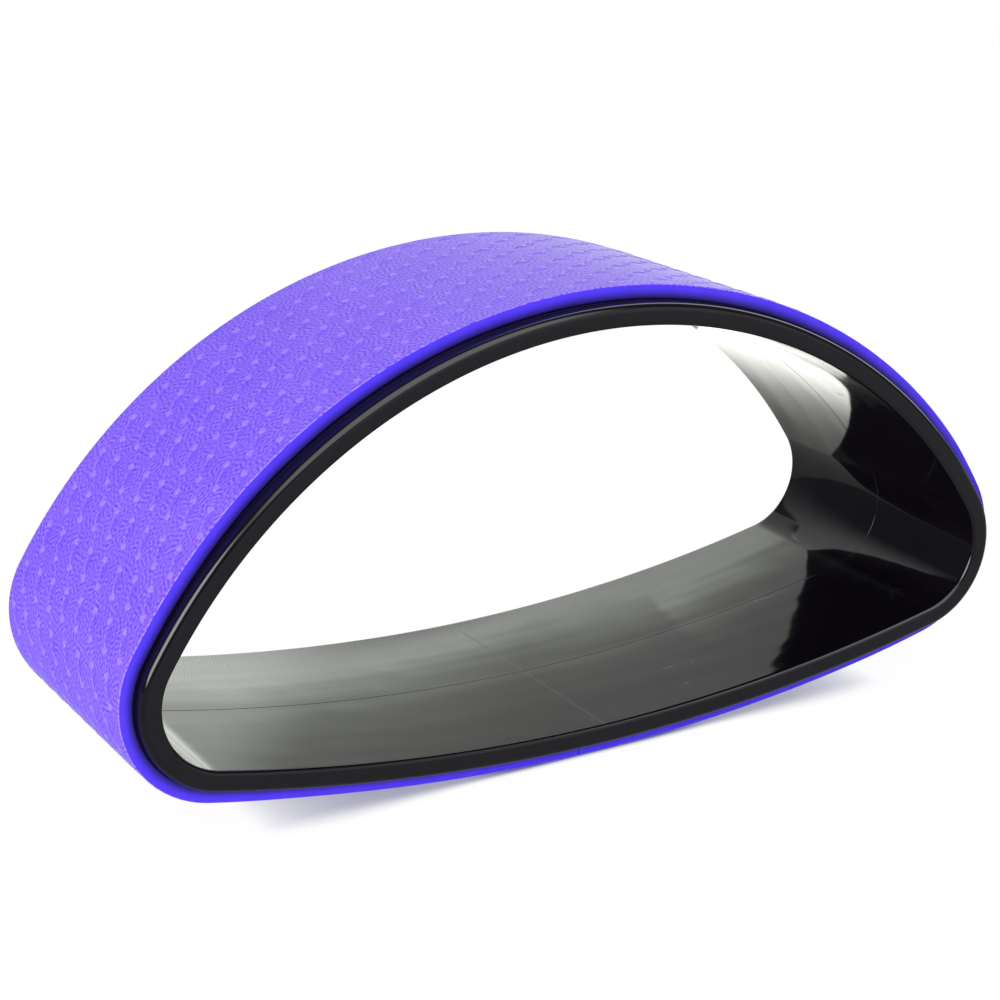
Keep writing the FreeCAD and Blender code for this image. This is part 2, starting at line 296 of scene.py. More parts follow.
def run_tree(piece, tree, values):
    """Run a tree on a piece with its inputs set by name, and keep the result as a plain mesh."""
    modifier = piece.modifiers.new(tree.name, "NODES")
    modifier.node_group = tree
    for item in tree.interface.items_tree:
        if item.in_out == "INPUT" and item.name in values:
            modifier[item.identifier] = values[item.name]
    depsgraph = bpy.context.evaluated_depsgraph_get()
    made = piece.evaluated_get(depsgraph)
    mesh = bpy.data.meshes.new_from_object(made, preserve_all_data_layers=True, depsgraph=depsgraph)
    piece.modifiers.clear()
    piece.data = mesh
    for slot in reversed(range(len(mesh.materials))):
        if mesh.materials[slot] is None:
            mesh.materials.pop(index=slot)
    mesh.shade_smooth()
    mesh.set_sharp_from_angle(angle=SHARP_FROM)
    print(piece.name, "has", len(mesh.polygons), "faces and finishes", [m.name for m in mesh.materials])


print("each arris gets", ARRIS_STEPS, "steps")

# %% [markdown]
# ## Finishes
# Two effects are shared. One is uneven tone, the slight clouding that every moulded or foamed surface has.
# The other is scuffs, the fine scratches and rubbed patches that handling leaves. Each is a shader group
# with named inputs, built once, so that every material sets its own colours, scale and strength.

# %% Shared shader groups
COLOUR, NUMBER, VECTOR = "NodeSocketColor", "NodeSocketFloat", "NodeSocketVector"
TONE_SPAN, TONE_DETAIL = (0.3, 0.7), 3.0
# Each set of scratches: how far it is turned, and how close the scratches lie along each axis.
SCRATCHES = ((0.5, (70.0, 420.0, 70.0)), (-0.35, (420.0, 90.0, 90.0)))
SCRATCH_SPAN = (0.69, 0.78)
RUBBED_SPAN, RUBBED_DETAIL = (0.5, 0.7), 2.0


def rgb(red, green, blue):
    """A colour in 0-255 screen values as the linear colour that shaders use."""
    screen = [value / 255 for value in (red, green, blue)]
    return (*[v / 12.92 if v <= 0.04045 else ((v + 0.055) / 1.055) ** 2.4 for v in screen], 1.0)


def add_math(tree, operation, *values):
    """A calculation on one to three numbers."""
    return add_node(tree, "ShaderNodeMath", enumerate(values), operation=operation).outputs[0]


def add_range(tree, value, span=(0.0, 1.0), results=(0.0, 1.0), smooth=False):
    """A number taken from a span to its results by a straight or smooth ramp that stops at both ends."""
    ends = zip(("From Min", "From Max", "To Min", "To Max"), (*span, *results))
    ramp = "SMOOTHSTEP" if smooth else "LINEAR"
    inputs = {"Value": value, **dict(ends)}
    return add_node(tree, "ShaderNodeMapRange", inputs, interpolation_type=ramp).outputs[0]


def mix_colours(tree, share, first, second):
    """A colour between two others."""
    return add_node(tree, "ShaderNodeMix", {0: share, 6: first, 7: second}, data_type="RGBA").outputs[2]


def add_noise(tree, place, scale, detail):
    """Cloudy noise at a place."""
    cloud = {"Vector": place, "Scale": scale, "Detail": detail}
    return add_node(tree, "ShaderNodeTexNoise", cloud).outputs[0]


def make_tone_group():
    inputs = (("Place", VECTOR), ("Light", COLOUR), ("Dark", COLOUR), ("Patch scale", NUMBER))
    tree, given, result = new_tree("Uneven tone", inputs, ("Colour", COLOUR), "ShaderNodeTree")
    noise = add_noise(tree, given["Place"], given["Patch scale"], TONE_DETAIL)
    share = add_range(tree, noise, TONE_SPAN)
    tree.links.new(mix_colours(tree, share, given["Dark"], given["Light"]), result[0])
    return tree


def make_scuff_group():
    inputs = (("Place", VECTOR), ("Patch scale", NUMBER))
    tree, given, result = new_tree("Scuffs", inputs, ("Scuffs", NUMBER), "ShaderNodeTree")
    marks = []
    for turn, closeness in SCRATCHES:
        along = {"Vector": given["Place"], "Rotation": (0.0, 0.0, turn), "Scale": closeness}
        streaked = add_node(tree, "ShaderNodeMapping", along).outputs[0]
        marks.append(add_range(tree, add_noise(tree, streaked, scale=1.0, detail=1.0), SCRATCH_SPAN))
    scratched = add_math(tree, "MAXIMUM", *marks)
    patches = add_noise(tree, given["Place"], given["Patch scale"], RUBBED_DETAIL)
    where = add_range(tree, patches, RUBBED_SPAN)
    tree.links.new(add_math(tree, "MULTIPLY", scratched, where), result[0])
    return tree


def new_material(name, **values):
    """A material with its shader's plain values set, its node tree and that shader."""
    material = bpy.data.materials.new(name)
    material.use_nodes = True
    shader = material.node_tree.nodes["Principled BSDF"]
    for socket, value in values.items():
        shader.inputs[socket.replace("_", " ")].default_value = value
    return material, material.node_tree, shader.inputs


def add_tone(tree, place, light, dark, scale):
    """The uneven tone group in a material, between two screen colours, with its own patch scale."""
    tone = {"Place": place, "Light": rgb(*light), "Dark": rgb(*dark), "Patch scale": scale}
    return add_node(tree, "ShaderNodeGroup", tone, node_tree=tone_group).outputs["Colour"]


tone_group = make_tone_group()
scuff_group = make_scuff_group()
print("shared groups:", tone_group.name, "and", scuff_group.name)

# %% [markdown]
# ## The shells
# The shells are black ABS from a polished mould, so they mirror what is around them, but their rim faces
# come from a textured part of the mould and are satin. One material does both: the rim is found by its
# place, at the two ends of the y axis, and that mask changes the colour and roughness and adds a fine grain.
# Two materials would leave a hard edge where the real finish fades into the rounded arris. A faint knit
# line, where the plastic met in the mould, crosses the middle of the base.

# %% Shell plastic
SHELL_HALF_WIDTH = -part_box("front_half_shell")[0].y
RIM_FADE = (SHELL_HALF_WIDTH - 0.3 * MM, SHELL_HALF_WIDTH - 0.02 * MM)
KNIT_FADE, KNIT_TOP = (0.9 * MM, 0.2 * MM), 40 * MM
POLISHED, SATIN = (0.07, 0.26), 0.42
SCUFF_SCALE = 26.0
WAVE_SCALE, FLOW_SCALE, FLOW_SHARE = 28.0, (5.0, 55.0, 5.0), 0.9
WAVE_DEPTH = 0.2 * MM
GRAIN_SCALE, GRAIN_DEPTH, GRAIN_STRENGTH = 2600.0, 0.05 * MM, 0.5


def mix_numbers(tree, share, first, second):
    """A number between two others."""
    return add_node(tree, "ShaderNodeMix", {0: share, 2: first, 3: second}, data_type="FLOAT").outputs[0]


def add_bump(tree, height, distance, strength, **under):
    """A surface normal for a height, on top of another normal if one is given."""
    relief = {"Height": height, "Distance": distance, "Strength": strength, **under}
    return add_node(tree, "ShaderNodeBump", relief).outputs[0]


def add_object_place(tree):
    """The place on the piece that is being shaded."""
    return add_node(tree, "ShaderNodeTexCoord").outputs["Object"]


def make_shell_plastic():
    material, tree, shader = new_material("shell_plastic", IOR=1.5)
    place = add_object_place(tree)
    axes = add_axes(tree, place)
    rim = add_range(tree, add_math(tree, "ABSOLUTE", axes["Y"]), RIM_FADE, smooth=True)
    polished = add_tone(tree, place, (13, 10, 17), (9, 6, 12), scale=22.0)
    satin = add_tone(tree, place, (16, 15, 23), (12, 11, 18), scale=60.0)
    tree.links.new(mix_colours(tree, rim, polished, satin), shader["Base Color"])
    wear = {"Place": place, "Patch scale": SCUFF_SCALE}
    scuffs = add_node(tree, "ShaderNodeGroup", wear, node_tree=scuff_group).outputs["Scuffs"]
    line = add_range(tree, add_math(tree, "ABSOLUTE", axes["X"]), KNIT_FADE)
    knit = add_math(tree, "MULTIPLY", line, add_math(tree, "LESS_THAN", axes["Z"], KNIT_TOP))
    worn = add_math(tree, "MAXIMUM", scuffs, knit)
    polish = add_range(tree, worn, results=POLISHED)
    tree.links.new(mix_numbers(tree, rim, polish, SATIN), shader["Roughness"])
    waves = add_noise(tree, place, WAVE_SCALE, detail=1.0)
    drawn = add_node(tree, "ShaderNodeMapping", {"Vector": place, "Scale": FLOW_SCALE}).outputs[0]
    flow = add_noise(tree, drawn, scale=1.0, detail=1.0)
    uneven = add_math(tree, "MULTIPLY_ADD", flow, FLOW_SHARE, waves)
    sunk = add_bump(tree, uneven, WAVE_DEPTH, strength=1.0)
    grain = add_math(tree, "MULTIPLY", add_noise(tree, place, GRAIN_SCALE, detail=2.0), rim)
    tree.links.new(add_bump(tree, grain, GRAIN_DEPTH, GRAIN_STRENGTH, Normal=sunk), shader["Normal"])
    return material


shell_plastic = make_shell_plastic()
print("made", shell_plastic.name)

# %% [markdown]
# Each half shell is a U in section: an outer skin under the mat, an inner skin and a rim web that joins
# them. The CAD solids have this shape, but their curved faces come over as flat triangles, which show in a
# mirror finish. So each half is lofted again with finer steps, and stands for its CAD node. Its sizes are
# the same, apart from larger rounds at the rim, where the highlights ask for them. The small rounds where
# the halves meet leave the fine groove that runs round the inside of the wheel.

# %% Shells
MATERIAL = "NodeSocketMaterial"
MAT_THICKNESS = 6 * MM
ADHESIVE = 0.2 * MM
BAND_DEPTH = 8.6 * MM
SKIN = 2.2 * MM
RIM_WEB = 2.6 * MM
RIM_ARRIS = 3.0 * MM
INNER_ARRIS = 1.8 * MM
PARTING_ARRIS = 0.3 * MM
shell_outer = -(MAT_THICKNESS + ADHESIVE)
shell_inner = shell_outer - BAND_DEPTH


def shell_profile(side):
    """The U section of the front half, with side -1, or the rear half, with side 1."""
    corners = [
        (0.0, shell_outer, 0.0),
        (SHELL_HALF_WIDTH, shell_outer, RIM_ARRIS),
        (SHELL_HALF_WIDTH, shell_inner, INNER_ARRIS),
        (0.0, shell_inner, PARTING_ARRIS),
        (0.0, shell_inner + SKIN, 0.0),
        (SHELL_HALF_WIDTH - RIM_WEB, shell_inner + SKIN, 0.0),
        (SHELL_HALF_WIDTH - RIM_WEB, shell_outer - SKIN, 0.0),
        (0.0, shell_outer - SKIN, 0.0),
    ]
    line = rounded_profile([(side * across, out, radius) for across, out, radius in corners])
    return line if side < 0 else list(reversed(line))


def realize(tree, geometry):
    """The geometry with its instances made real."""
    return add_node(tree, "GeometryNodeRealizeInstances", {"Geometry": geometry}).outputs[0]


def add_wrapped(tree, given, flat):
    """A flat geometry bent round the wheel, with its instances made real."""
    bend = {"Flat piece": flat, "Outline": given["Outline"]}
    return realize(tree, add_node(tree, "GeometryNodeGroup", bend, node_tree=wrap_tree).outputs[0])


def make_finish_tree():
    inputs = (("Flat piece", GEOMETRY), ("Outline", OBJECT), ("Finish", MATERIAL))
    tree, given, result = new_tree("Wrap and finish", inputs, ("Piece", GEOMETRY))
    finishing = {"Geometry": add_wrapped(tree, given, given["Flat piece"]), "Material": given["Finish"]}
    tree.links.new(add_node(tree, "GeometryNodeSetMaterial", finishing).outputs[0], result[0])
    return tree


finish_tree = make_finish_tree()
for side, name, node in ((-1, "front_shell", "front_half_shell"), (1, "rear_shell", "rear_half_shell")):
    shell = flat_loft(name, shell_profile(side), stations[:-1], closed=True)
    run_tree(shell, finish_tree, {"Outline": outline, "Finish": shell_plastic})
    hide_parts(node)
    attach(shell, "root")

# %% [markdown]
# ## The mat
# The mat is closed-cell foam, embossed on its face and cut to a strip. Its emboss is a common one: rows of
# small raised drops, each with a thin tail towards the next row and a shallow hollow beside the tail. The
# rows repeat along the strip and the columns across it, a little skewed, as cut mats often are. These sizes
# are shared by the finish and by the raised shapes, so they come first.

# %% Emboss layout
ROW_PITCH = 17.6 * MM
COLUMN_PITCH = 14.0 * MM
ROW_STEP = Vector((9.8 * MM, 6.4 * MM))
SHORT_TAIL = Vector((6.5 * MM, 2.8 * MM))
FIRST_DROP = Vector((4.8 * MM, -30.9 * MM))
COLUMN_DRIFT = -0.05
ROW_LEAN = -0.045
DRIFT_FROM = 375.7 * MM
HOLLOW_STEP = Vector((6.2 * MM, 2.4 * MM))
HOLLOW_HALF = (4.4 * MM, 1.9 * MM)
HOLLOW_TURN = math.radians(18)
HOLLOW_FADE = (1.4, 0.2)
print("emboss repeats every", ROW_PITCH / MM, "by", COLUMN_PITCH / MM, "mm")

# %% [markdown]
# Seen close up, the skin between the drops is finely wrinkled, about 2 mm from fold to fold. That is too
# fine to model, so it is a bump and a change of tone, on the flat UV map so that it follows the strip round
# the corners. The tone paints part of the wrinkles' shading: paler crests and darker troughs. Gabor noise
# keeps one spacing, as the skin does, where plain noise would leave wide and narrow places. The hollows are
# pressed smoother and get painted shade, the drops and their tails get a painted highlight, and so does a
# band along the face's edges. The cut edges have no skin: they are plainer and deeper in colour, with
# painted shade that darkens them towards the shell.

# %% Mat finishes
WRINKLE_SCALE, WRINKLES_PER_CELL = 236.0, 2.0
WRINKLE_SPAN = (0.3, 0.7)
# The hollows' share of painted shade, and the depth of their bump.
HOLLOW_SHADE, HOLLOW_DEPTH = 0.4, -0.35
WRINKLED_DROP = (0.65, 1.0)
WRINKLE_HEIGHT, SKIN_RELIEF = (0.45, 0.2), 0.25 * MM
# How wide the painted highlight along the face's edges is.
EDGE_HIGHLIGHT_WIDTH = 0.9 * MM
CUT_SHADE = 4.6 * MM
PORE_SCALE, PORE_DEPTH, PORE_STRENGTH = 1800.0, 0.08 * MM, 0.5
MAT_HALF_WIDTH = (mat_high.y - mat_low.y) / 2
EDGE_HIGHLIGHT_FADE = (MAT_HALF_WIDTH - EDGE_HIGHLIGHT_WIDTH, MAT_HALF_WIDTH - EDGE_HIGHLIGHT_WIDTH / 3)


def add_hollows(tree, axes):
    """A mask of the shallow hollows, one beside each long tail, on the same skewed lattice as the drops."""
    past = add_math(tree, "SUBTRACT", axes["X"], DRIFT_FROM)
    across = add_math(tree, "MULTIPLY_ADD", past, -COLUMN_DRIFT, axes["Y"])
    along = add_math(tree, "MULTIPLY_ADD", across, -ROW_LEAN, axes["X"])
    middle = FIRST_DROP + HOLLOW_STEP
    cell = []
    for distance, centre, pitch in ((along, middle.x, ROW_PITCH), (across, middle.y, COLUMN_PITCH)):
        shifted = add_math(tree, "SUBTRACT", distance, centre)
        cell.append(add_math(tree, "WRAP", shifted, pitch / 2, -pitch / 2))
    place = add_combined(tree, X=cell[0], Y=cell[1])
    oval = {"Vector": place, "Rotation": (0.0, 0.0, HOLLOW_TURN), "Scale": (*HOLLOW_HALF, 1.0)}
    fitted = add_node(tree, "ShaderNodeMapping", oval, vector_type="TEXTURE").outputs[0]
    distance = add_node(tree, "ShaderNodeVectorMath", {0: fitted}, operation="LENGTH").outputs["Value"]
    return add_range(tree, distance, HOLLOW_FADE, smooth=True)


def add_attribute(tree, name):
    """A number that the mesh carries by name, in a material."""
    return add_node(tree, "ShaderNodeAttribute", attribute_name=name).outputs["Fac"]


def make_mat_face():
    finish = {"Roughness": 0.6, "Sheen_Weight": 0.5, "Sheen_Roughness": 0.16}
    material, tree, shader = new_material("mat_face", **finish)
    flat = add_node(tree, "ShaderNodeUVMap", uv_map="flat").outputs["UV"]
    folds = {"Vector": flat, "Scale": WRINKLE_SCALE, "Frequency": WRINKLES_PER_CELL, "Anisotropy": 0.0}
    wrinkles = add_node(tree, "ShaderNodeTexGabor", folds, gabor_type="2D").outputs["Value"]
    crinkle = add_range(tree, wrinkles, WRINKLE_SPAN)
    hollow = add_hollows(tree, add_axes(tree, flat))
    drop = add_attribute(tree, "drop")
    # Paler crests and darker troughs paint part of the wrinkles' shading.
    crest = add_tone(tree, flat, (156, 119, 255), (149, 111, 255), scale=30.0)
    trough_shade = add_tone(tree, flat, (96, 62, 230), (90, 56, 224), scale=30.0)
    hollow_shade = add_tone(tree, flat, (98, 64, 252), (92, 58, 251), scale=60.0)
    # A painted highlight on the drops and tails, as strong as the drop attribute says.
    drop_highlight = add_tone(tree, flat, (164, 131, 255), (156, 122, 255), scale=200.0)
    painted_highlight = add_tone(tree, flat, (166, 137, 255), (157, 127, 255), scale=200.0)
    ground = mix_colours(tree, crinkle, trough_shade, crest)
    # Painted shade in the hollows.
    hollow_shaded = mix_colours(tree, add_math(tree, "MULTIPLY", hollow, HOLLOW_SHADE), ground, hollow_shade)
    drop_highlight_share = add_math(tree, "MULTIPLY", drop, add_range(tree, crinkle, results=WRINKLED_DROP))
    pattern_shade_and_highlight = mix_colours(tree, drop_highlight_share, hollow_shaded, drop_highlight)
    # A painted highlight along the face's edges, where the rounded arris catches the light.
    from_middle = add_math(tree, "ABSOLUTE", add_attribute(tree, "across"))
    edge_highlight_share = add_math(tree, "MULTIPLY", add_range(tree, from_middle, EDGE_HIGHLIGHT_FADE, smooth=True), crinkle)
    tree.links.new(mix_colours(tree, edge_highlight_share, pattern_shade_and_highlight, painted_highlight), shader["Base Color"])
    formed = add_math(tree, "MAXIMUM", drop, hollow)
    fine = add_math(tree, "MULTIPLY", crinkle, add_range(tree, formed, results=WRINKLE_HEIGHT))
    relief = add_math(tree, "MULTIPLY_ADD", hollow, HOLLOW_DEPTH, fine)
    tree.links.new(add_bump(tree, relief, SKIN_RELIEF, strength=1.0), shader["Normal"])
    return material


def make_mat_cut():
    material, tree, shader = new_material("mat_cut_edge", Roughness=0.6)
    place = add_object_place(tree)
    # The foot colour is painted shade: the cut edge darkens towards the shell.
    shaded = (-MAT_THICKNESS, -MAT_THICKNESS + CUT_SHADE)
    lit = add_range(tree, add_attribute(tree, "depth"), shaded, smooth=True)
    clean = add_tone(tree, place, (81, 54, 246), (74, 48, 240), scale=90.0)
    foot = add_tone(tree, place, (27, 16, 100), (23, 13, 90), scale=90.0)
    tree.links.new(mix_colours(tree, lit, foot, clean), shader["Base Color"])
    pores = add_noise(tree, place, PORE_SCALE, detail=2.0)
    tree.links.new(add_bump(tree, pores, PORE_DEPTH, PORE_STRENGTH), shader["Normal"])
    return material


mat_face = make_mat_face()
mat_cut = make_mat_cut()
print("made", mat_face.name, "and", mat_cut.name)

# %% [markdown]
# A drop is a low dome and its tail is a thin bowed ridge. Both are closed solids with their feet just inside
# the mat, and have few faces, because there are about nine hundred of them. Drops in one row reach to the
# next row with a long tail. Drops in that row have a short one. An attribute rises with the height of each
# point. The finish paints a highlight by it and smooths the wrinkles there.

# %% Drops
EMBOSS = 0.25 * MM
DROP_HALF_LENGTH = 1.75 * MM
DROP_HALF_WIDTH = 2.1 * MM
DROP_SIDES = 12
FOOT = -0.1 * MM
# Each ring of the dome: its share of the dome's width, its height and its share of the painted highlight.
DROP_RINGS = ((1.0, FOOT, 0.3), (0.94, 0.4 * EMBOSS, 0.7), (0.66, EMBOSS, 1.0))
TAIL_STEPS = 5
TAIL_START = 0.1
TAIL_HALF_WIDTH = 0.7 * MM
TAIL_BOW = 1.1 * MM
# How much painted highlight a tail gets.
TAIL_HIGHLIGHT = 0.56
# The tail's width, height and painted highlight: the share of each at its root, and how much of that goes by
# its tip.
TAIL_TAPERS = ((1.0, 0.5), (0.95, 0.35), (1.2, 0.6))
LONG_STRENGTH, SHORT_STRENGTH = 1.0, 0.75


def make_drop(name, tail, strength):
    """A dome at the origin with a tail to the given point, flat, with z = 0 on the mat's ground."""
    vertices, highlight_tones = [], []
    for share, rise, tone in DROP_RINGS:
        highlight_tones += [tone] * DROP_SIDES
        for side in range(DROP_SIDES):
            turn = 2 * math.pi * side / DROP_SIDES
            along, across = DROP_HALF_LENGTH * math.cos(turn), DROP_HALF_WIDTH * math.sin(turn)
            vertices.append((share * along, share * across, rise))
    faces = join_rings(0, DROP_SIDES, len(DROP_RINGS))
    first = len(vertices)
    aside = Vector((-tail.y, tail.x)).normalized()
    for step in range(TAIL_STEPS + 1):
        share = TAIL_START + (1.0 - TAIL_START) * step / TAIL_STEPS
        middle = tail * share + aside * TAIL_BOW * math.sin(math.pi * share)
        width, lift, painted_highlight = (root - loss * share for root, loss in TAIL_TAPERS)
        half = aside * TAIL_HALF_WIDTH * strength * width
        crest = EMBOSS * strength * lift
        ridge = ((-1.0, FOOT), (-0.5, crest), (0.5, crest), (1.0, FOOT))
        highlight_tones += [TAIL_HIGHLIGHT * strength * painted_highlight] * len(ridge)
        for place, rise in ridge:
            point = middle + half * place
            vertices.append((point.x, point.y, rise))
    faces += [list(reversed(face)) for face in join_rings(first, len(ridge), TAIL_STEPS + 1)]
    drop = new_piece(name, vertices, faces)
    drop.data.attributes.new("drop", "FLOAT", "POINT").data.foreach_set("value", highlight_tones)
    return drop


long_drop = make_drop("long_drop", ROW_STEP, LONG_STRENGTH)
short_drop = make_drop("short_drop", SHORT_TAIL, SHORT_STRENGTH)
print("a drop has", len(long_drop.data.polygons), "faces")

# %% [markdown]
# Placing the drops one by one in Python would work, but a Geometry Nodes tree shows the rule: two skewed
# grids of points, trimmed to the strip, each carrying one kind of drop. The tree adds the drops to the strip
# while all is flat, notes how deep and how far across each point of the strip lies, and then wraps the
# whole. The strip is trimmed by hand, so its front edge wanders: it stands back by a few millimetres that
# change round the wheel.

# %% Embossing tree
COLUMNS = 24
DROP_MARGIN = DROP_HALF_WIDTH + 0.6 * MM
DROP_SEED, DROP_LEAST, DROP_MOST = 7, 0.9, 0.99
STEEP_BELOW = 0.35
WANDER_MOST = 4.0 * MM
# Share of the way round, and how far the front edge stands back there.
EDGE_WANDER = (
    (0.0, 2.1 * MM),
    (0.11, 1.9 * MM),
    (0.20, 0.0),
    (0.34, 2.0 * MM),
    (0.47, 2.8 * MM),
    (0.61, 1.0 * MM),
    (0.70, 1.5 * MM),
    (0.765, 3.6 * MM),
    (0.85, 2.3 * MM),
    (1.0, 2.1 * MM),
)


def add_wander(tree, along):
    """How far the front edge stands back at a distance along the strip."""
    share = add_math(tree, "DIVIDE", along, outline_length)
    curve = add_node(tree, "ShaderNodeFloatCurve", {"Value": share})
    line = curve.mapping.curves[0]
    for end, (place, back) in zip(line.points, (EDGE_WANDER[0], EDGE_WANDER[-1])):
        end.location = (place, back / WANDER_MOST)
    for place, back in EDGE_WANDER[1:-1]:
        line.points.new(place, back / WANDER_MOST)
    curve.mapping.update()
    return add_math(tree, "MULTIPLY", curve.outputs[0], WANDER_MOST)


def add_lattice(tree, given, drop_name, start, reach):
    """A grid of points skewed and trimmed to the strip, with one kind of drop on every point."""
    rows = math.ceil(outline_length / ROW_PITCH) + 1
    spread = {
        "Size X": (rows - 1) * ROW_PITCH,
        "Size Y": (COLUMNS - 1) * COLUMN_PITCH,
        "Vertices X": rows,
        "Vertices Y": COLUMNS,
    }
    grid = add_node(tree, "GeometryNodeMeshGrid", spread).outputs["Mesh"]
    corner = (start.x + spread["Size X"] / 2, start.y + COLUMN_PITCH / 2, 0.0)
    placed = add_node(tree, "GeometryNodeTransform", {"Geometry": grid, "Translation": corner}).outputs[0]
    axes = add_axes(tree, add_node(tree, "GeometryNodeInputPosition").outputs[0])
    past = add_math(tree, "SUBTRACT", axes["X"], DRIFT_FROM)
    drift = add_math(tree, "MULTIPLY", past, given["Column drift"])
    lean = add_math(tree, "MULTIPLY", axes["Y"], given["Row lean"])
    skew = {"Geometry": placed, "Offset": add_combined(tree, X=lean, Y=drift)}
    skewed = add_node(tree, "GeometryNodeSetPosition", skew).outputs[0]
    from_edge = add_math(tree, "SUBTRACT", axes["Y"], add_wander(tree, axes["X"]))
    rear = MAT_HALF_WIDTH - DROP_MARGIN - max(0.0, reach.y - DROP_HALF_WIDTH)
    limits = (
        (axes["X"], DROP_MARGIN, "GREATER_THAN"),
        (axes["X"], outline_length - DROP_MARGIN - reach.x, "LESS_THAN"),
        (from_edge, DROP_MARGIN - MAT_HALF_WIDTH, "GREATER_THAN"),
        (axes["Y"], rear, "LESS_THAN"),
    )
    inside = 1.0
    for measure, bound, comparison in limits:
        inside = add_math(tree, "MULTIPLY", inside, add_math(tree, comparison, measure, bound))
    sizes = {2: DROP_LEAST, 3: DROP_MOST, "Seed": DROP_SEED}
    vary = add_node(tree, "FunctionNodeRandomValue", sizes, data_type="FLOAT").outputs[1]
    drop = geometry_of(tree, given[drop_name])
    stand = {"Points": skewed, "Selection": inside, "Instance": drop, "Scale": vary}
    return add_node(tree, "GeometryNodeInstanceOnPoints", stand).outputs[0]


def store_number(tree, geometry, name, value, domain):
    """The geometry with a number stored on it by name."""
    storing = {"Geometry": geometry, "Name": name, "Value": value}
    kind = "GeometryNodeStoreNamedAttribute"
    return add_node(tree, kind, storing, data_type="FLOAT", domain=domain).outputs[0]


def join_geometry(tree, *parts):
    """Several geometries as one."""
    joined = add_node(tree, "GeometryNodeJoinGeometry")
    for part in parts:
        tree.links.new(part, joined.inputs[0])
    return joined.outputs[0]


def make_emboss_tree():
    inputs = (
        ("Flat strip", GEOMETRY),
        ("Long drop", OBJECT),
        ("Short drop", OBJECT),
        ("Column drift", NUMBER),
        ("Row lean", NUMBER),
        ("Ground", NUMBER),
        ("Outline", OBJECT),
        ("Face finish", MATERIAL),
        ("Cut finish", MATERIAL),
    )
    tree, given, result = new_tree("Emboss and wrap", inputs, ("Mat", GEOMETRY))
    long_rows = add_lattice(tree, given, "Long drop", FIRST_DROP, ROW_STEP)
    short_rows = add_lattice(tree, given, "Short drop", FIRST_DROP + ROW_STEP, SHORT_TAIL)
    drops = realize(tree, join_geometry(tree, long_rows, short_rows))
    raising = {"Geometry": drops, "Translation": add_combined(tree, Z=given["Ground"])}
    lifted = add_node(tree, "GeometryNodeTransform", raising).outputs[0]
    upward = add_axes(tree, add_node(tree, "GeometryNodeInputNormal").outputs[0])["Z"]
    steep = add_math(tree, "LESS_THAN", upward, STEEP_BELOW)
    noted = store_number(tree, given["Flat strip"], "cut_edge", steep, "FACE")
    axes = add_axes(tree, add_node(tree, "GeometryNodeInputPosition").outputs[0])
    for name, measure in (("depth", axes["Z"]), ("across", axes["Y"])):
        noted = store_number(tree, noted, name, measure, "POINT")
    share = add_range(tree, axes["Y"], (MAT_HALF_WIDTH, -MAT_HALF_WIDTH))
    back = add_math(tree, "MULTIPLY", add_wander(tree, axes["X"]), share)
    trim = {"Geometry": noted, "Offset": add_combined(tree, Y=back)}
    trimmed = add_node(tree, "GeometryNodeSetPosition", trim).outputs[0]
    whole = add_wrapped(tree, given, join_geometry(tree, lifted, trimmed))
    skin = {"Geometry": whole, "Material": given["Face finish"]}
    skinned = add_node(tree, "GeometryNodeSetMaterial", skin).outputs[0]
    reading = {"Name": "cut_edge"}
    cut_edge = add_node(tree, "GeometryNodeInputNamedAttribute", reading, data_type="FLOAT").outputs[0]
    cutting = {"Geometry": skinned, "Selection": cut_edge, "Material": given["Cut finish"]}
    tree.links.new(add_node(tree, "GeometryNodeSetMaterial", cutting).outputs[0], result[0])
    return tree


emboss_tree = make_emboss_tree()
print("emboss tree has", len(emboss_tree.nodes), "nodes")

# %% [markdown]
# The strip itself is a loft with rounded arrises, and stops short of a full turn so that its two ends meet
# at a fine butt joint under the base. It is foam glued to a hard shell, so it neither sags nor swells and
# needs no cloth simulation.

# %% Mat
BUTT_GAP = 0.4 * MM
FACE_ARRIS = 0.5 * MM
BACK_ARRIS = 0.8 * MM
mat_profile = rounded_profile(
    [
        (MAT_HALF_WIDTH, -EMBOSS, FACE_ARRIS),
        (-MAT_HALF_WIDTH, -EMBOSS, FACE_ARRIS),
        (-MAT_HALF_WIDTH, -MAT_THICKNESS, BACK_ARRIS),
        (MAT_HALF_WIDTH, -MAT_THICKNESS, BACK_ARRIS),
    ]
)
strip = [BUTT_GAP / 2, *stations[1:-1], outline_length - BUTT_GAP / 2]
mat = flat_loft("embossed_mat", mat_profile, strip, closed=False)
values = {
    "Long drop": long_drop,
    "Short drop": short_drop,
    "Column drift": COLUMN_DRIFT,
    "Row lean": ROW_LEAN,
    "Ground": -EMBOSS,
    "Outline": outline,
    "Face finish": mat_face,
    "Cut finish": mat_cut,
}
run_tree(mat, emboss_tree, values)
for helper in (outline, long_drop, short_drop):
    bpy.data.objects.remove(helper)
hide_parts("mat")
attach(mat, "root")

# %% [markdown]
# ## The adhesive
# A thin bonding film shows only as a hair line under the mat's edges. Its CAD solid has the right shape, so
# it stays, with a finish of its own: slightly uneven, and dark with painted shade, the shade of the gap
# beside the mat.

# %% Adhesive
def make_shaded_adhesive_film():
    material, tree, shader = new_material("adhesive_film_shade", Roughness=0.2)
    # Its dark colour is painted shade of the gap it lies in.
    tone = add_tone(tree, add_object_place(tree), (16, 13, 26), (12, 9, 20), scale=120.0)
    tree.links.new(tone, shader["Base Color"])
    return material


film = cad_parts["mat_adhesive"]
film.data.materials.clear()
film.data.materials.append(make_shaded_adhesive_film())
print("adhesive finish:", film.data.materials[0].name)

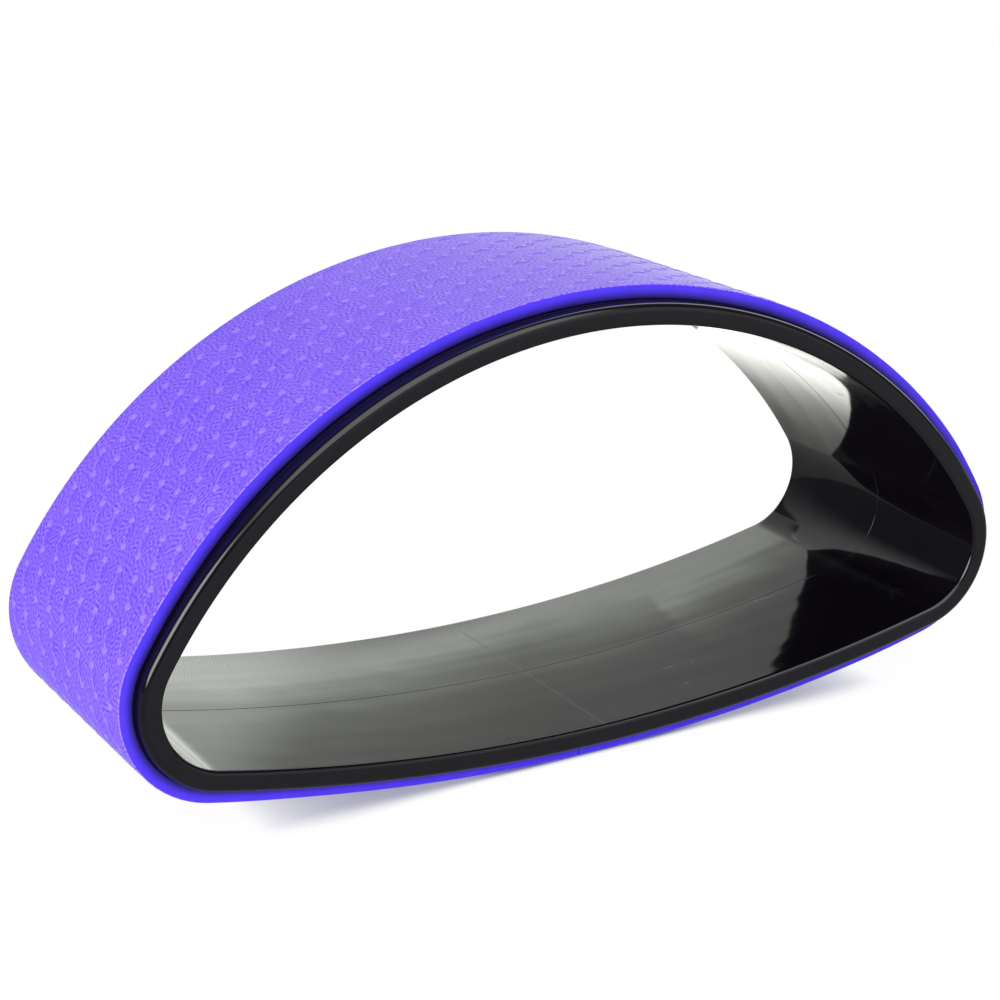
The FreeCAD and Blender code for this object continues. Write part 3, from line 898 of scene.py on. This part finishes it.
# %% [markdown]
# ## Floor and light
# The wheel stands on a plain white floor that melts into a white background. The floor glows for the camera,
# so that it stays white without more light on the wheel. Ambient occlusion over a short distance darkens it
# where the wheel almost touches it, which is the thin contact shadow of a brightly lit studio table, and a
# little of its own shading keeps the wide soft shadow. Mirror rays see the table as the black plastic shows
# it: dim in the wheel's own shade, and bright behind it to the right.

# %% Floor
# Axis, where the table starts to be lit and where it is fully lit.
LIT_TABLE = (
    ("X", 172 * MM, 222 * MM),
    ("X", 330 * MM, 270 * MM),
    ("Y", 30 * MM, 100 * MM),
    ("Y", 400 * MM, 320 * MM),
)
TABLE_LEVELS, TABLE_TINT = (0.3, 2.6), (1.0, 1.0, 0.95, 1.0)
# How far the contact shade reaches, and where along the wheel that reach rises and falls again.
SHADE_REACH = (3 * MM, 14 * MM)
SHADE_ENDS = ((40 * MM, 140 * MM), (172 * MM, 148 * MM))
SHADE_SPAN, SHADE_SAMPLES = (0.2, 0.95), 16
SHADE_TINT, WHITE = (0.12, 0.12, 0.26, 1.0), (1.0, 1.0, 1.0, 1.0)
FLOOR_GLOW = 0.95
SEEN_PAINT, UNSEEN_PAINT = (0.09, 0.09, 0.09, 1.0), (0.85, 0.85, 0.85, 1.0)
FLOOR_REACH, FLOOR_DROP = 4.0, 0.1 * MM


def flat_plane(name, corners, *materials):
    """A stage item made of rectangles, four corners each."""
    faces = [tuple(range(first, first + 4)) for first in range(0, len(corners), 4)]
    plane = new_piece(name, corners, faces)
    for material in materials:
        plane.data.materials.append(material)
    return plane


def bare_material(name):
    """A material with no shader yet, its node tree and its output socket."""
    material = bpy.data.materials.new(name)
    material.use_nodes = True
    tree = material.node_tree
    tree.nodes.remove(tree.nodes["Principled BSDF"])
    return material, tree, tree.nodes["Material Output"].inputs["Surface"]


def add_glow(tree, colour, strength):
    """A shader that glows."""
    return add_node(tree, "ShaderNodeEmission", {"Color": colour, "Strength": strength}).outputs[0]


def add_paint(tree, colour):
    """A plain matt shader."""
    return add_node(tree, "ShaderNodeBsdfDiffuse", {"Color": colour}).outputs[0]


def mix_shaders(tree, share, first, second):
    """A shader between two others."""
    return add_node(tree, "ShaderNodeMixShader", {0: share, 1: first, 2: second}).outputs[0]


def add_ramps(tree, ramps):
    """The product of several smooth ramps, each a measure and its span."""
    product = 1.0
    for measure, span in ramps:
        product = add_math(tree, "MULTIPLY", product, add_range(tree, measure, span, smooth=True))
    return product


def make_floor_paint():
    material, tree, surface = bare_material("floor_paint")
    ray = add_node(tree, "ShaderNodeLightPath").outputs
    axes = add_axes(tree, add_object_place(tree))
    from_middle = add_math(tree, "ABSOLUTE", axes["X"])
    lifted = add_ramps(tree, [(from_middle, span) for span in SHADE_ENDS])
    reach = {"Distance": add_range(tree, lifted, results=SHADE_REACH)}
    open_sky = add_node(tree, "ShaderNodeAmbientOcclusion", reach, samples=SHADE_SAMPLES).outputs["AO"]
    shaded = mix_colours(tree, add_range(tree, open_sky, SHADE_SPAN), SHADE_TINT, WHITE)
    layers = {0: add_glow(tree, shaded, FLOOR_GLOW), 1: add_paint(tree, SEEN_PAINT)}
    seen = add_node(tree, "ShaderNodeAddShader", layers).outputs[0]
    lit = add_ramps(tree, [(axes[axis], span) for axis, *span in LIT_TABLE])
    table = add_glow(tree, TABLE_TINT, add_range(tree, lit, results=TABLE_LEVELS))
    other = mix_shaders(tree, ray["Is Glossy Ray"], add_paint(tree, UNSEEN_PAINT), table)
    tree.links.new(mix_shaders(tree, ray["Is Camera Ray"], other, seen), surface)
    return material


floor_level = cad_box[0][2] - FLOOR_DROP
sides = ((-1, -1), (1, -1), (1, 1), (-1, 1))
floor_corners = [(x * FLOOR_REACH, y * FLOOR_REACH, floor_level) for x, y in sides]
flat_plane("floor", floor_corners, make_floor_paint())
print("floor at", floor_level)

# %% [markdown]
# A mirror finish shows the studio more than itself, so what it mirrors was worked out from the photograph:
# for each place on the black plastic, where a mirror ray goes and how bright it comes back. Most of the
# studio is dark there. Softboxes shine from the left, from above the camera and, weakly, from the right
# front, and a white backdrop stands behind, to the right. The camera sees plain white, and soft surfaces get
# an even light.

# %% World
AMBIENT = 0.52
MIRRORED_DARK = 0.12
# Each softbox: its direction, how near to it the glow starts and is full, and how bright it is.
SOFTBOXES = (
    ((-0.81, -0.43, 0.41), 0.92, 0.97, 7.0),
    ((-0.03, -0.50, 0.87), 0.78, 0.92, 2.6),
    ((0.53, -0.81, 0.26), 0.85, 0.95, 0.6),
    ((0.60, 0.75, 0.25), 0.74, 0.95, 2.5),
)


def make_world():
    world = bpy.data.worlds.new("studio")
    world.use_nodes = True
    tree = world.node_tree
    background = tree.nodes["Background"].inputs
    ray = add_node(tree, "ShaderNodeLightPath").outputs
    aim = add_node(tree, "ShaderNodeTexCoord").outputs["Generated"]
    mirrored = MIRRORED_DARK
    for heading, edge, core, level in SOFTBOXES:
        facing = {0: aim, 1: Vector(heading).normalized()}
        nearness = add_node(tree, "ShaderNodeVectorMath", facing, operation="DOT_PRODUCT").outputs["Value"]
        glow = add_range(tree, nearness, (edge, core), (0.0, level), smooth=True)
        mirrored = add_math(tree, "ADD", mirrored, glow)
    unseen = mix_numbers(tree, ray["Is Glossy Ray"], AMBIENT, mirrored)
    seen = add_math(tree, "MAXIMUM", ray["Is Camera Ray"], ray["Is Transmission Ray"])
    background["Color"].default_value = WHITE
    tree.links.new(mix_numbers(tree, seen, unseen, 1.0), background["Strength"])
    return world


bpy.context.scene.world = make_world()
print("world mirrors", len(SOFTBOXES), "softboxes")

# %% [markdown]
# The base's inner face mirrors something close behind the wheel that is brightest near the table. A white
# card stands there, with upright louvres in front of it, as on a studio lamp, so that it shines towards the
# base and the right wall sees only the dimmer louvres. Its foot rises to the right, where the crown mirrors
# the table under it. A second card further back, with the same glow, fills what the base mirrors below that
# foot. Only mirror rays meet the cards.

# %% Louvred card
CARD_Y = 120 * MM
CARD_LEFT, CARD_RIGHT, CARD_TOP = -125 * MM, 230 * MM, 185 * MM
CARD_FOOT, LOUVRE_FOOT, FOOT_HIGH = 36 * MM, 2 * MM, 105 * MM
LEFT_FOOT = (-40 * MM, 10 * MM)
FOOT_RISE = (100 * MM, 168 * MM)
GLOW_LEFTWARD, GLOW_ENDS = (-20 * MM, -75 * MM), (0.55, 1.22)
GLOW_NEAR, GLOW_MOST = 1.3, 1.02
GLOW_LEVEL, GLOW_FADE = 50 * MM, 13.4 * MM
LEAN_FROM, GLOW_LEAN = 70 * MM, -0.25
FOOT_DIM, FOOT_SOFT = (0.7, 0.3), (30 * MM, 47 * MM)
CARD_TINT = (0.96, 1.0, 0.94, 1.0)
BACK_CARD, BACK_OVERLAP = Vector((41 * MM, 80 * MM, 54 * MM)), 10 * MM
LOUVRE_PITCH = 1.6 * MM
LOUVRE_DEPTH = 1.8 * MM
LOUVRE_HEADING = math.radians(30)
LOUVRE_SLANT, LOUVRE_SPAN, LOUVRE_LEVELS = 0.6, (146 * MM, 256 * MM), (0.09, 1.0)


def make_card_glow():
    material, tree, surface = bare_material("card_glow")
    axes = add_axes(tree, add_object_place(tree))
    past = add_math(tree, "SUBTRACT", axes["X"], LEAN_FROM)
    right = add_math(tree, "MAXIMUM", past, 0.0)
    level = add_math(tree, "MULTIPLY_ADD", right, GLOW_LEAN, axes["Z"])
    fades = add_math(tree, "DIVIDE", add_math(tree, "SUBTRACT", GLOW_LEVEL, level), GLOW_FADE)
    near = add_math(tree, "MINIMUM", add_math(tree, "EXPONENT", fades), GLOW_MOST)
    far = add_range(tree, axes["X"], GLOW_LEFTWARD, GLOW_ENDS, smooth=True)
    glow = add_math(tree, "MULTIPLY_ADD", near, GLOW_NEAR, far)
    least = add_range(tree, axes["X"], LEFT_FOOT, FOOT_DIM)
    soft = add_range(tree, axes["Z"], FOOT_SOFT, (least, 1.0), smooth=True)
    tree.links.new(add_glow(tree, CARD_TINT, add_math(tree, "MULTIPLY", glow, soft)), surface)
    return material


# The louvres glow too, dimmer than the card, and brighter to the right and upwards.
def make_louvre_glow():
    material, tree, surface = bare_material("louvre_glow")
    axes = add_axes(tree, add_object_place(tree))
    slanted = add_math(tree, "MULTIPLY_ADD", axes["Z"], LOUVRE_SLANT, axes["X"])
    level = add_range(tree, slanted, LOUVRE_SPAN, LOUVRE_LEVELS, smooth=True)
    tree.links.new(add_glow(tree, WHITE, level), surface)
    return material


def upright(start, end, foot, top=CARD_TOP):
    """The four corners of an upright rectangle between two points, from a foot height to a top."""
    return [(*start, foot), (*end, foot), (*end, top), (*start, top)]


def smooth_step(value, start, end):
    """The share of the way from start to end, eased at both."""
    share = min(max((value - start) / (end - start), 0.0), 1.0)
    return share * share * (3 - 2 * share)


def hide_from_all_but_mirrors(plane):
    """Leave a plane to mirror rays alone."""
    plane.visible_camera = False
    plane.visible_diffuse = False
    plane.visible_shadow = False
    plane.visible_transmission = False


louvre_x = LOUVRE_DEPTH * math.sin(LOUVRE_HEADING)
louvre_y = LOUVRE_DEPTH * math.cos(LOUVRE_HEADING)
corners = []
cells = round((CARD_RIGHT - CARD_LEFT) / LOUVRE_PITCH)
for cell in range(cells):
    x = CARD_LEFT + cell * LOUVRE_PITCH
    risen = smooth_step(x, *FOOT_RISE)
    low = LOUVRE_FOOT + (CARD_FOOT - LOUVRE_FOOT) * smooth_step(x, *LEFT_FOOT)
    tip = (x - louvre_x, CARD_Y - louvre_y)
    corners += upright((x, CARD_Y), (x + LOUVRE_PITCH, CARD_Y), low + (FOOT_HIGH - low) * risen)
    corners += upright((x, CARD_Y), tip, LOUVRE_FOOT + (FOOT_HIGH - LOUVRE_FOOT) * risen)
card_glow = make_card_glow()
card = flat_plane("card", corners, card_glow, make_louvre_glow())
for face in list(card.data.polygons)[1::2]:
    face.material_index = 1
far_corners = upright((FOOT_RISE[0], CARD_Y), (CARD_RIGHT, CARD_Y), CARD_FOOT, FOOT_HIGH + BACK_OVERLAP)
back_card = flat_plane("back_card", far_corners, card_glow)
back_card.location = BACK_CARD
for plane in (card, back_card):
    hide_from_all_but_mirrors(plane)
print("card with", cells, "louvres")

# %% [markdown]
# Two large lamps give the mat its form: a key from the left front and a weaker one from behind. Mirror rays
# miss them, because the softboxes above stand for what the plastic shows.

# %% Lamps
LAMP_TARGET = Vector((0.0, 0.0, 0.1))


def add_softbox(name, place, width, height, power):
    """A rectangular lamp that faces the wheel and isn't mirrored."""
    data = bpy.data.lights.new(name, "AREA")
    data.shape = "RECTANGLE"
    data.size = width
    data.size_y = height
    data.energy = power
    lamp = add_object(name, data)
    lamp.location = place
    lamp.rotation_euler = (LAMP_TARGET - Vector(place)).to_track_quat("-Z", "Y").to_euler()
    lamp.visible_glossy = False


add_softbox("key_softbox", (-1.55, -1.40, 0.60), width=1.2, height=1.2, power=43.0)
add_softbox("back_softbox", (0.9, 1.5, 1.1), width=1.6, height=0.9, power=6.0)
print("lamps:", [lamp.name for lamp in bpy.data.lights])

# %% [markdown]
# ## The result
# The colours are shown through the Standard view transform.

# %% Finish
bpy.context.scene.view_settings.view_transform = "Standard"
